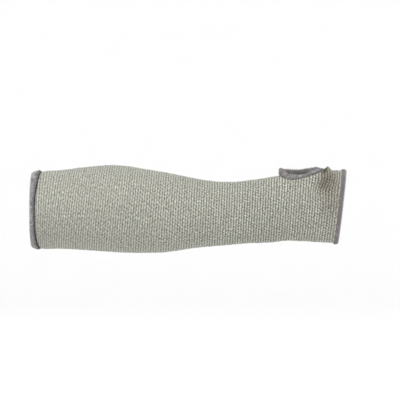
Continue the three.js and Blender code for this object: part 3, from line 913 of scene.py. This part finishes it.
class Opening:
    """One of the sleeve's openings: where its edge runs, and how its edging lies over the knit.
    place gives the station and share of the way round for a turn of the edge and a distance in from it.
    width, middle and end go by the turn too: the width on the knit, and the shares of the thickness
    halfway over the edging and where it ends. lumpy is how much of the usual lumps it has, and mirrored
    is true where the sleeve lies before its edge, so that the faces have to be turned round."""

    SAMPLES = 721

    def __init__(self, worn, edging, place, width, thickness, middle, end, lumpy=1.0, mirrored=False):
        self.worn = worn
        self.edging = edging
        self.place = place
        self.width = width
        self.thickness = thickness
        self.middle = middle
        self.end = end
        self.lumpy = lumpy
        self.mirrored = mirrored
        self.turn = np.linspace(0, 1, self.SAMPLES)
        edge = worn.above(*place(self.turn, 0.0), 0.0)
        steps = np.linalg.norm(np.diff(edge, axis=0), axis=1)
        self.reached = np.concatenate([[0], np.cumsum(steps)])
        self.girth = self.reached[-1]

    def even(self, along):
        """The turn of the edge at a share of its length. Shares may run past 1 or below 0."""
        whole = np.floor(along)
        return whole + np.interp((along - whole) * self.girth, self.reached, self.turn)

    def points(self, along, over, height):
        turn = self.even(along)
        return self.worn.above(*self.place(turn, over), height)

    def direction(self, along):
        """The edge's own direction."""
        step = 0.001
        return unit(self.points(along + step, 0.0, 0.0) - self.points(along - step, 0.0, 0.0))

    def lumps(self, along):
        """How much thicker or thinner the edging is than usual, as a share."""
        total = np.zeros_like(along)
        for lump in LUMPS:
            count = round(self.girth / lump.spacing)
            total += self.lumpy * lump.amount * np.sin(2 * np.pi * (count * along + lump.start))
        return total

    def profile(self, along, sunk):
        """The edging's section, sunk by a distance, from its end on the outer face, over the edge, to its
        end inside. The last axis is the distance in from the edge and the height."""
        turn = self.even(along)
        width = self.width(turn)
        middle = self.middle(turn)
        end = self.end(turn)
        thick = self.thickness * (1 + self.lumps(along)) - sunk
        inner_thick = self.edging.inner_thread - sunk
        clearance = self.worn.form.clearance
        top = clearance
        bottom = -self.worn.form.wall - clearance
        rows = [(width * row.width, top + thick * (end * row.end + middle * row.middle)) for row in ON_KNIT]
        for row in OVER_EDGE:
            height = bottom + (top - bottom) * row.level + thick * row.thickness
            rows.append((-clearance - thick * row.out, height))
        rows += [(width * row.width, bottom - inner_thick * row.thickness) for row in INSIDE]
        return stack_profile(rows, len(along))


def upper_opening(worn, edging):
    """The rolled edging at the upper arm: widest and highest on the thumb side."""

    def roll(turn, column):
        up = np.sin(2 * np.pi * turn)
        thumb_side = up > 0
        gather = np.where(thumb_side, THUMB_SIDE_EDGING.gather, UNDER_SIDE_EDGING.gather)
        side = np.where(thumb_side, getattr(THUMB_SIDE_EDGING, column), getattr(UNDER_SIDE_EDGING, column))
        flat = getattr(FLAT_EDGING, column)
        return flat + (side - flat) * np.abs(up) ** gather

    def width(turn):
        return edging.upper_width * roll(turn, "width")

    def place(turn, over):
        return worn.upper_edge + over, turn

    def middle(turn):
        return roll(turn, "middle")

    def end(turn):
        return roll(turn, "end")

    return Opening(worn, edging, place, width, edging.upper_thickness, middle, end)


def level(value):
    """The same value all round an opening."""
    return lambda turn: np.full_like(turn, value)


def hand_opening(worn, edging):
    """The flat edging at the hand."""

    def place(turn, over):
        return worn.hand_edge - over, turn

    width = level(edging.hand_width)
    return Opening(worn, edging, place, width, edging.hand_thickness, level(1.0), level(0.6), 0.8, True)


def thumb_opening(worn, edging):
    """The cord-like edging round the thumb hole."""

    def place(turn, over):
        return worn.beside_hole(2 * np.pi * turn, over)

    width = level(edging.thumb_width)
    return Opening(worn, edging, place, width, edging.thumb_thickness, level(1.0), level(0.7), 0.2)


class Courses:
    """Where the courses of the knit lie, and how their stitches differ."""

    # A course has three rows of points: the gap before it, then the two shoulders of its crown. Their
    # places in courses, and which way a swollen stitch moves them
    ROWS = np.array([0.0, 0.29, 0.71])
    SHOULDER = np.array([0.0, -1.0, 1.0])
    # A stitch has four columns of points: how it swings along the sleeve and how far it stands out there
    SWING = np.array([1.0, 0.0, -1.0, 0.0])
    PROUD = np.array([1.0, 0.4, -0.2, 0.4])
    # What unevenness does: how far it shifts a stitch and spreads its shoulders, in courses, how much it
    # swells a crown and deepens a gap, as shares, and how much deeper the gap is at every second column
    SHIFTED = 1 / 6
    SPREAD = 0.04
    SWOLLEN = 1.1
    PITTED = 0.9
    SECOND_COLUMN = 0.25

    def __init__(self, worn, knit, edging):
        self.worn = worn
        self.knit = knit
        self.edging = edging
        self.which, self.kind = np.divmod(np.arange(len(self.ROWS) * knit.courses + 1), len(self.ROWS))
        self.place = self.which + self.ROWS[self.kind]
        self.column = np.arange(len(self.SWING) * knit.wales)

    def station(self, course, around):
        """Stations of places on the courses, which lean as they go round."""
        worn = self.worn
        part = course / self.knit.courses
        part = part - self.knit.tightening * np.sin(np.pi * part)
        part, around = np.broadcast_arrays(part, around)
        at = worn.upper_edge + (worn.hand_edge - worn.upper_edge) * part
        points = worn.section(at, worn.turn(at, around))
        degrees = np.interp(part, [row.along for row in SLANTS], [row.degrees for row in SLANTS])
        moved = at + np.tan(np.radians(degrees)) * (points[..., 2] - worn.middle(at))
        blend = 0.01
        palm_side = smooth_step(-points[..., 1] / blend)
        for pull in PULLS:
            along = (at - pull.x) / pull.half_x
            up = (points[..., 2] - pull.z) / pull.half_z
            moved = moved + pull.shift * palm_side * up * np.exp(-(along**2) - (up / pull.fade) ** 2)
        return moved

    def relief(self):
        """Each outer point's place in courses, and how far it stands out of the knit's plain face."""
        knit = self.knit
        rng = np.random.default_rng(11)

        def uneven():
            """Stitches differ a little, and neighbours on one yarn differ alike."""
            raw = rng.normal(size=(knit.courses + 1, len(self.column)))
            near = raw + np.roll(raw, 1, axis=1) + np.roll(raw, -1, axis=1) + np.roll(raw, 2, axis=1)
            return near[self.which] / 2 * knit.unevenness

        swell = uneven()
        shift = uneven()
        pits = uneven()
        # Every second course is half a stitch further round
        stitch = (self.column + 2 * (self.which[:, None] % 2)) % len(self.SWING)
        swing = knit.wave * self.SWING[stitch] * (1 + swell) + self.SHIFTED * shift
        spread = self.SPREAD * self.SHOULDER[self.kind][:, None] * swell
        is_crown = (self.kind > 0)[:, None]
        place = self.place[:, None] + np.where(is_crown, swing + spread, 0.0)
        ridge = knit.ridge * (self.PROUD[stitch] + self.SWOLLEN * swell)
        gap = -knit.gap * (1 + self.SECOND_COLUMN * (self.column % 2) + self.PITTED * pits)
        return np.clip(place, 0, knit.courses), np.where(is_crown, ridge, gap)

    def height(self, at, around, relief):
        """The relief, flattened where an edging covers it, with the groove beside the upper-arm one."""
        worn = self.worn
        edging = self.edging
        upper_width = upper_opening(worn, edging).width(np.mod(around, 1))
        from_upper = at - worn.upper_edge - upper_width
        from_hand = worn.hand_edge - at - edging.hand_width
        from_thumb = worn.from_hole(at, around)[0] - edging.thumb_width
        # Over this distance from an edging the relief comes back, and under it the knit is pressed in
        fade = 0.0012
        pressed = 0.0003
        free = smooth_step(from_upper / fade) * smooth_step(from_hand / fade) * smooth_step(from_thumb / fade)
        groove_middle = 0.0009
        groove_half_width = 0.0011
        groove = self.knit.groove * np.exp(-(((from_upper - groove_middle) / groove_half_width) ** 2))
        return free * relief - (1 - free) * pressed - groove


def knit_walls(skin, outer, inner, kept):
    """Walls between the knit's two faces, at the sleeve's ends and round the thumb hole."""
    courses, wales = kept.shape
    up = np.arange(len(outer) // courses + 1)
    across = np.arange(outer.shape[1] // wales + 1)
    padded = np.pad(kept, ((1, 1), (0, 0)))

    def wall(edge, rows, columns, inner_corners):
        """Walls at the stitches where edge is true. rows and columns lead along the side of a stitch on
        the outer face, and inner_corners back along its side on the inner one."""
        row, wale = np.nonzero(edge)
        outer_row = row[:, None] * up[-1] + rows
        outer_column = (wale[:, None] * across[-1] + columns) % outer.shape[1]
        back = [inner[row + below, (wale + beside) % wales] for below, beside in inner_corners]
        skin.faces(np.concatenate([outer[outer_row, outer_column], np.stack(back, axis=1)], axis=1))

    wall(kept & ~padded[:-2], 0, across, [(0, 1), (0, 0)])
    wall(kept & ~padded[2:], up[-1], across[::-1], [(1, 0), (1, 1)])
    wall(kept & ~np.roll(kept, 1, axis=1), up[::-1], 0, [(0, 0), (1, 0)])
    wall(kept & ~np.roll(kept, -1, axis=1), up, across[-1], [(1, 1), (0, 1)])


def knit_body(settings):
    """The seamless tube: a fine outer face of courses and wales, a plain inner face and the walls between.
    Each stitch is a cell of three rows and four columns on the outer face and one quad on the inner one."""
    form = settings.form
    knit = settings.knit
    worn = WornForm(form, settings.edging)
    lines = Courses(worn, knit, settings.edging)
    skin = Skin()

    places, relief = lines.relief()
    around = lines.column / len(lines.column)
    at = lines.station(places, around)
    outer = skin.add(worn.above(at, around, lines.height(at, around, relief)))
    courses = np.arange(knit.courses + 1.0)
    around = np.arange(knit.wales) / knit.wales
    inner = skin.add(worn.above(lines.station(courses[:, None], around), around, -form.wall))

    # The thumb hole cuts away the stitches whose middle is further in than a line under its edging
    line_in_edging = 0.4 * settings.edging.thumb_width
    around = around + 0.5 / knit.wales
    at = lines.station(courses[:-1, None] + 0.5, around)
    kept = worn.from_hole(at, around)[0] > line_in_edging

    per_wale = len(lines.SWING)
    fine = kept[lines.which[:-1, None], lines.column // per_wale]
    skin.quads(outer, *np.nonzero(fine), lines.place, per_wale, 0, (0, 3, 2, 1))
    skin.quads(inner, *np.nonzero(kept), courses, 1, 1, (1, 2, 3, 0))
    knit_walls(skin, outer, inner, kept)

    materials = [purl_material(settings.colours), jersey_material(settings.colours)]
    piece = skin.piece("knitted_sleeve", materials)
    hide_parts("sleeve_body")
    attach(piece, "root")
    return piece


def add_tubes(skin, paths, across, radius, slot, closed=False):
    """Threads along paths of (threads, points, 3). across is a direction that no path runs along. The
    UV map counts tenths along a thread, or millimetres along a closed one."""
    sides = 6
    if closed:
        ahead = np.roll(paths, -1, axis=1) - np.roll(paths, 1, axis=1)
    else:
        ahead = np.gradient(paths, axis=1)
    ahead = unit(ahead)
    first = unit(np.cross(ahead, across))
    second = np.cross(ahead, first)
    angle = np.arange(sides) * 2 * np.pi / sides
    thickness = np.broadcast_to(radius, paths.shape[:2])[..., None, None]
    turned = np.cos(angle)[:, None] * first[:, :, None, :] + np.sin(angle)[:, None] * second[:, :, None, :]
    ids = skin.add(paths[:, :, None, :] + thickness * turned)
    threads, count = paths.shape[:2]
    steps = np.linalg.norm(np.diff(paths, axis=1), axis=2)
    reached = np.concatenate([np.zeros((threads, 1)), np.cumsum(steps, axis=1)], axis=1)
    millimetre = 0.001
    reached = reached / millimetre if closed else 10 * reached / reached[:, -1:]
    rings = cells(count if closed else count - 1, sides)
    for thread_ids, along in zip(ids, reached):
        skin.quads(thread_ids, *rings, np.append(along, along[-1] + 1.0), sides, slot)
    if not closed:
        skin.faces(ids[:, 0, ::-1], slot=slot)
        skin.faces(ids[:, -1], slot=slot)


def resample(profile, count):
    """A smooth line through a profile's points, at even shares of their number."""
    last = profile.shape[-2] - 1
    place = np.linspace(0, last, count)
    low = np.clip(np.floor(place).astype(int), 0, last - 1)
    past = (place - low)[:, None]
    before = profile[..., np.maximum(low - 1, 0), :]
    here = profile[..., low, :]
    there = profile[..., low + 1, :]
    after = profile[..., np.minimum(low + 2, last), :]
    square = 2 * before - 5 * here + 4 * there - after
    cube = 3 * here - before - 3 * there + after
    return 0.5 * (2 * here + (there - before) * past + square * past**2 + cube * past**3)


# The material slots of every edging
STITCHES, PADDING, CHAIN, GROOVE = range(4)


def edging_padding(skin, opening):
    """The padding of knit and thread under the overlock stitches, closed over the knit's edge."""
    form = opening.worn.form
    step = 0.002
    section_points = 26
    sunk = opening.edging.thread * 1.1
    steps = int(opening.girth / step)
    along = np.arange(steps) / steps
    profile = resample(opening.profile(along, sunk), section_points)
    halfway = opening.width(opening.even(along)) * 0.5
    outer = form.clearance
    inner = -form.wall - form.clearance
    back = [(halfway, inner), (-form.clearance, inner), (-form.clearance, outer), (halfway, outer)]
    loop = np.concatenate([profile, stack_profile(back, steps)], axis=1)
    ids = skin.add(opening.points(along[:, None], loop[..., 0], loop[..., 1]))
    millimetres = np.arange(steps + 1) * step / 0.001
    order = (3, 2, 1, 0) if opening.mirrored else (0, 1, 2, 3)
    skin.quads(ids, *cells(*ids.shape), millimetres, ids.shape[1], PADDING, order)


def overlock_stitches(skin, opening, rng, lean):
    """Thread over the edge: each stitch leans one way and then the other, as a looper lays it. lean is
    how far, in stitches."""
    thread = opening.edging.thread
    sunk = thread * 0.75
    jitter = 0.10
    lift_jitter = 0.00007
    stitches = int(round(opening.girth / opening.edging.stitch))
    part = np.linspace(0, 1, 20)
    # A stitch is thinner at its two ends, where it goes into the knit
    taper = np.minimum(1, 0.55 + 6 * np.minimum(part, 1 - part))
    # It leans on its way down to the edge, and half as far again on its way inside
    down_edge = 0.55
    tip = np.clip(1 - part / down_edge, 0, 1) - 0.5 * np.clip((part - down_edge) / (1 - down_edge), 0, 1)
    for way in (-1, 1):
        along = (np.arange(stitches) + 0.25 * way) / stitches
        along = along + rng.normal(scale=jitter, size=stitches) / stitches
        profile = resample(opening.profile(along, sunk), len(part))
        leaning = way * lean * (tip - 0.5) / stitches
        lift = rng.normal(scale=lift_jitter, size=(stitches, 1))
        paths = opening.points(along[:, None] + leaning, profile[..., 0], profile[..., 1] + lift)
        across = opening.direction(along)[:, None, :]
        radius = thread * (1 + rng.normal(scale=jitter, size=(stitches, 1)))
        add_tubes(skin, paths, across, radius * taper, STITCHES)


def edge_thread(skin, opening, along, over, height, radius, slot, swing=0.0, turn=0.0):
    """A closed thread along the edge, which may swing round its own line."""
    outwards = opening.points(along, over, height + 0.001) - opening.points(along, over, height)
    path = opening.points(along, over + swing * np.cos(turn), height + swing * np.sin(turn))
    add_tubes(skin, path[None], unit(outwards)[None], radius, slot, closed=True)


def edge_chain(skin, opening, out, height):
    """Two threads that turn round each other along the edge. out is a share of the edging's thickness."""
    turn_length = opening.edging.stitch * 1.15
    steps_per_turn = 10
    swing = opening.edging.thread * 0.95
    radius = opening.edging.thread * 0.92
    turns = int(round(opening.girth / turn_length))
    along = np.arange(turns * steps_per_turn) / (turns * steps_per_turn)
    over = -opening.worn.form.clearance - opening.thickness * out
    for start in (0, 0.5):
        turn = 2 * np.pi * (along * turns + start)
        edge_thread(skin, opening, along, over, height, radius, CHAIN, swing, turn)


def start_edging(settings, make_opening, seed, lean):
    """The padding and the overlock stitches, which all edgings have."""
    worn = WornForm(settings.form, settings.edging)
    opening = make_opening(worn, settings.edging)
    skin = Skin()
    edging_padding(skin, opening)
    overlock_stitches(skin, opening, np.random.default_rng(seed), lean)
    return opening, skin


def finish_edging(skin, name, node, materials):
    piece = skin.piece(name, materials)
    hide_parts(node)
    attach(piece, "root")
    return piece


def upper_arm_edging(settings):
    colours = settings.colours
    groove_thread = settings.edging.groove_thread
    opening, skin = start_edging(settings, upper_opening, 21, 0.6)
    edge_chain(skin, opening, 0.85, -settings.form.wall / 9)
    # The near-black thread in the groove beside the edging, which stands in for that groove's shade: painted
    # shade
    steps = 720
    along = np.arange(steps) / steps
    over = opening.width(opening.even(along)) + groove_thread * 0.9
    edge_thread(skin, opening, along, over, 0.0, groove_thread, GROOVE)
    # The stitches take painted shade where they leave the knit, under the edging's roll
    materials = [
        thread_material("Overlock thread", colours, 0.05, colours.thread, 3.6),
        thread_material("Overlock padding", colours, -0.20, colours.thread),
        thread_material("Edge thread", colours, 0.35, colours.thread),
        groove_shade_material(colours),
    ]
    return finish_edging(skin, "upper_arm_edging", "upper_arm_binding", materials)


def hand_edging(settings):
    colours = settings.colours
    opening, skin = start_edging(settings, hand_opening, 22, 0.5)
    edge_chain(skin, opening, 0.8, 0.0)
    # The hand's threads have lower lightness than the upper arm's: painted shade
    materials = [
        thread_material("Hand overlock thread", colours, -0.15, colours.thread_hand),
        thread_material("Hand overlock padding", colours, -0.30, colours.thread_hand),
        thread_material("Hand edge thread", colours, 0.30, colours.thread),
    ]
    return finish_edging(skin, "hand_edging", "hand_binding", materials)


def thumb_hole_edging(settings):
    colours = settings.colours
    _, skin = start_edging(settings, thumb_opening, 23, 0.35)
    # Round the thumb hole the light thread is a darker copy, as painted shade, and the stitches take painted
    # shade where they leave the knit
    name = "Thumb hole overlock thread"
    materials = [
        thread_material(name, colours, -0.02, colours.thread_hand, 2.2, colours.thread_thumb),
        thread_material("Thumb hole padding", colours, -0.20, colours.thread),
    ]
    return finish_edging(skin, "thumb_hole_edging", "thumb_hole_binding", materials)


def studio_floor(stage):
    """A round floor that sweeps up into a pale wall, well outside the camera's way."""
    segments = 96
    bend = 1.8
    wall_height = 5.5
    floor = -stage.floor_drop
    foot = stage.room_radius - bend
    arc = np.linspace(0, np.pi / 2, 16)
    profile = [(radius, floor) for radius in (0.25, 1.0, 2.5, foot)]
    profile += [(foot + bend * math.sin(a), floor + bend * (1 - math.cos(a))) for a in arc[1:]]
    profile.append((stage.room_radius, floor + wall_height))
    radius, height = np.array(profile).T[:, :, None]
    angle = np.arange(segments) * 2 * np.pi / segments
    x = stage.camera_x + radius * np.cos(angle)
    rings = np.stack(np.broadcast_arrays(x, radius * np.sin(angle), height), axis=-1)
    skin = Skin()
    ids = skin.add(rings)
    skin.quads(ids, *cells(len(profile) - 1, segments), height[:, 0], segments, 0, (3, 2, 1, 0))
    skin.faces(ids[:1])
    material = bpy.data.materials.new("Studio floor")
    material.use_nodes = True
    shader = material.node_tree.nodes["Principled BSDF"]
    shader.inputs["Base Color"].default_value = (0.97, 0.97, 0.97, 1)
    shader.inputs["Roughness"].default_value = 0.9
    shader.inputs["Specular IOR Level"].default_value = 0.1
    return skin.piece("studio_floor", [material])


def soft_light(lamp, stage):
    """A round soft light that shines at the sleeve's middle."""
    name = lamp.name + "_light"
    light = bpy.data.lights.new(name, "AREA")
    light.shape = "DISK"
    light.size = lamp.width
    light.energy = getattr(stage, lamp.name + "_power")
    thing = bpy.data.objects.new(name, light)
    thing.location = (stage.camera_x + lamp.x, lamp.y, lamp.z)
    towards = Vector((stage.camera_x, 0.0, 0.0)) - thing.location
    thing.rotation_euler = towards.to_track_quat("-Z", "Y").to_euler()
    bpy.context.scene.collection.objects.link(thing)


def studio(stage):
    """Floor, light and the camera at the photograph's viewing angle."""
    scene = bpy.context.scene
    studio_floor(stage)
    for lamp in LAMPS:
        soft_light(lamp, stage)
    world = scene.world or bpy.data.worlds.new("Studio sky")
    scene.world = world
    world.use_nodes = True
    sky = world.node_tree.nodes["Background"]
    sky.inputs["Color"].default_value = (1, 1, 1, 1)
    sky.inputs["Strength"].default_value = stage.sky
    lens = bpy.data.cameras.new("studio_camera")
    lens.sensor_width = 36
    lens.lens = lens.sensor_width * stage.camera_distance / stage.picture_width
    lens.clip_end = 50
    camera = bpy.data.objects.new("studio_camera", lens)
    camera.location = (stage.camera_x, -stage.camera_distance, stage.camera_height)
    camera.rotation_euler = (math.pi / 2, 0, 0)
    scene.collection.objects.link(camera)
    scene.camera = camera
    scene.view_settings.view_transform = "Standard"


class SLEEVE_OT_stage(bpy.types.Operator):
    """Set up the camera, the pale floor and the soft light"""

    bl_idname = "sleeve.stage"
    bl_label = "Studio"

    def execute(self, context):
        studio(context.scene.sleeve.stage)
        return {"FINISHED"}


class SLEEVE_OT_knit(bpy.types.Operator):
    """Knit the sleeve's tube in its worn form"""

    bl_idname = "sleeve.knit"
    bl_label = "Knitted Sleeve"

    def execute(self, context):
        knit_body(context.scene.sleeve)
        return {"FINISHED"}


class SLEEVE_OT_edgings(bpy.types.Operator):
    """Overlock the edges of the upper-arm opening, the hand opening and the thumb hole"""

    bl_idname = "sleeve.edgings"
    bl_label = "Overlocked Edges"

    def execute(self, context):
        settings = context.scene.sleeve
        pieces = [upper_arm_edging(settings), hand_edging(settings), thumb_hole_edging(settings)]
        return {"FINISHED"}


class SLEEVE_PT_sidebar(bpy.types.Panel):
    """The sleeve's pieces, sizes and colours"""

    bl_label = "Cut Resistant Sleeve"
    bl_idname = "SLEEVE_PT_sidebar"
    bl_space_type = "VIEW_3D"
    bl_region_type = "UI"
    bl_category = "Sleeve"

    def draw(self, context):
        layout = self.layout
        for operator in (SLEEVE_OT_stage, SLEEVE_OT_knit, SLEEVE_OT_edgings):
            layout.operator(operator.bl_idname)
        settings = context.scene.sleeve
        for name in ("form", "knit", "edging", "colours", "stage"):
            box = layout.box()
            box.label(text=name.capitalize())
            group = getattr(settings, name)
            for prop in group.bl_rna.properties:
                if prop.identifier not in {"rna_type", "name"}:
                    box.prop(group, prop.identifier)


CLASSES = (
    SleeveForm,
    SleeveKnit,
    SleeveEdging,
    SleeveColours,
    SleeveStage,
    SleeveSettings,
    SLEEVE_OT_stage,
    SLEEVE_OT_knit,
    SLEEVE_OT_edgings,
    SLEEVE_PT_sidebar,
)


def register():
    for cls in CLASSES:
        bpy.utils.register_class(cls)
    bpy.types.Scene.sleeve = PointerProperty(type=SleeveSettings)


def unregister():
    del bpy.types.Scene.sleeve
    for cls in reversed(CLASSES):
        bpy.utils.unregister_class(cls)


def main():
    register()
    bpy.ops.sleeve.stage()
    bpy.ops.sleeve.knit()
    bpy.ops.sleeve.edgings()


if __name__ == "__main__":
    main()
